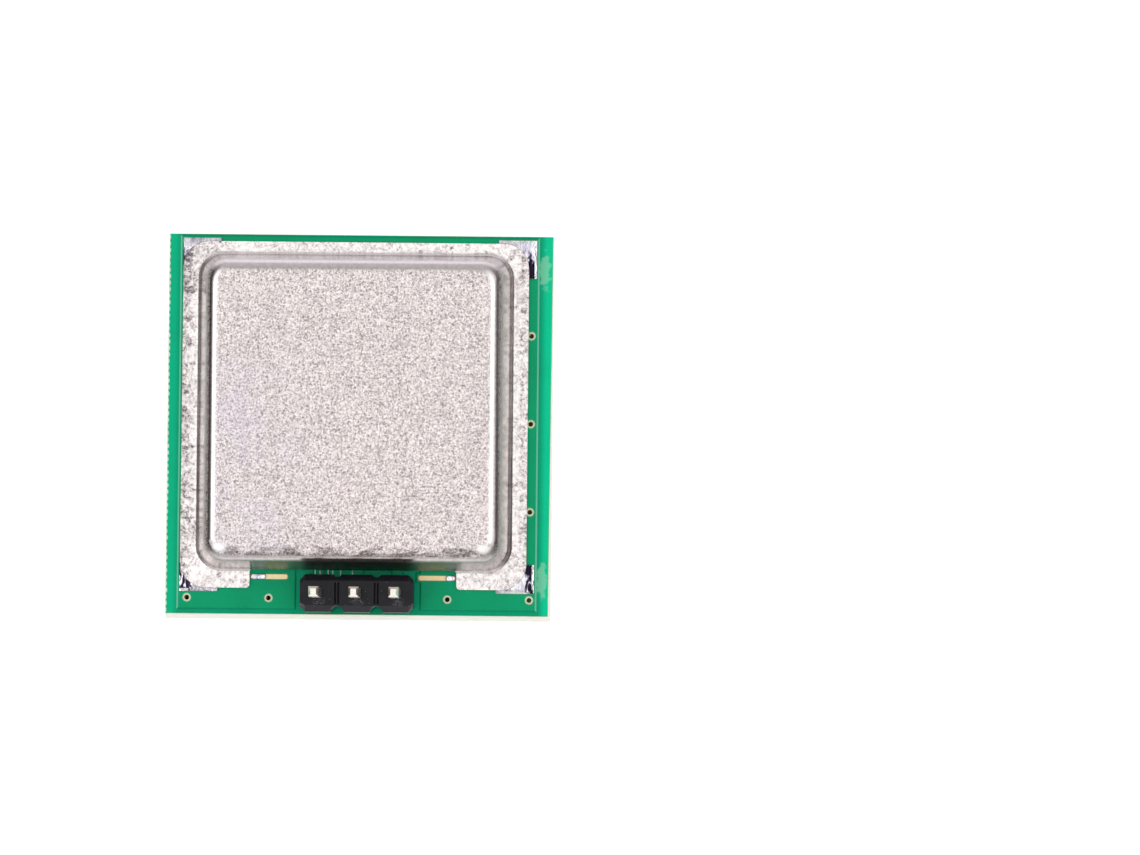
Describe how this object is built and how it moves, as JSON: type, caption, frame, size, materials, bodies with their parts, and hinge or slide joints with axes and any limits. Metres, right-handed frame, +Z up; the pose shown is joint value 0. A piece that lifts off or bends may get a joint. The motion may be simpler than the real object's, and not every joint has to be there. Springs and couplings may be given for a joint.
{
  "type": "radar motion sensor",
  "caption": "Square microwave radar module: a circuit board with patch antenna arrays on one side, a drawn metal shield can on the other and a pin header along one edge.",
  "frame": {"origin": "under the middle of the board, level with the ends of the pin tails", "axes": "+Z up out of the board's component side, towards the shield can and along the pins; -Y towards the header; +X to the right with the header at the front"},
  "size_m": [0.025, 0.025, 0.0117],
  "materials": {
    "laminate": "bare glass-fibre laminate",
    "gold": "immersion gold over copper",
    "solder_mask": "glossy green solder mask",
    "antenna_mask": "glossy blue-green solder mask",
    "tin_plated_steel": "tin-plated sheet, drawn, with stretch marks",
    "solder": "bright solder",
    "header_plastic": "black moulded plastic",
    "pin_metal": "tin-plated brass",
    "package": "black moulding compound",
    "resistor": "thick-film chip",
    "capacitor": "tan ceramic chip"
  },
  "bodies": {
    "root": {"board": "laminate", "ground_copper": "gold", "component_side_mask": "solder_mask", "antenna_side_mask": "antenna_mask", "transmit_antenna": "gold", "receive_antenna": "gold", "centre_copper_island": "gold", "oscillator_microstrip": "gold", "mixer_microstrip": "gold", "supply_track": "gold", "shield_can": "tin_plated_steel", "shield_solder_back_left": "solder", "shield_solder_back_right": "solder", "shield_solder_front_left": "solder", "shield_solder_front_right": "solder", "strip_solder_left": "solder", "strip_solder_right": "solder", "header_housing": "header_plastic", "header_pin_1": "pin_metal", "header_pin_2": "pin_metal", "header_pin_3": "pin_metal", "pin_solder_1": "solder", "pin_solder_2": "solder", "pin_solder_3": "solder", "oscillator_transistor": "package", "mixer_diode_1": "package", "mixer_diode_2": "package", "bias_resistor_1": "resistor", "bias_resistor_2": "resistor", "bypass_capacitor_1": "capacitor", "bypass_capacitor_2": "capacitor"}
  },
  "joints": []
}
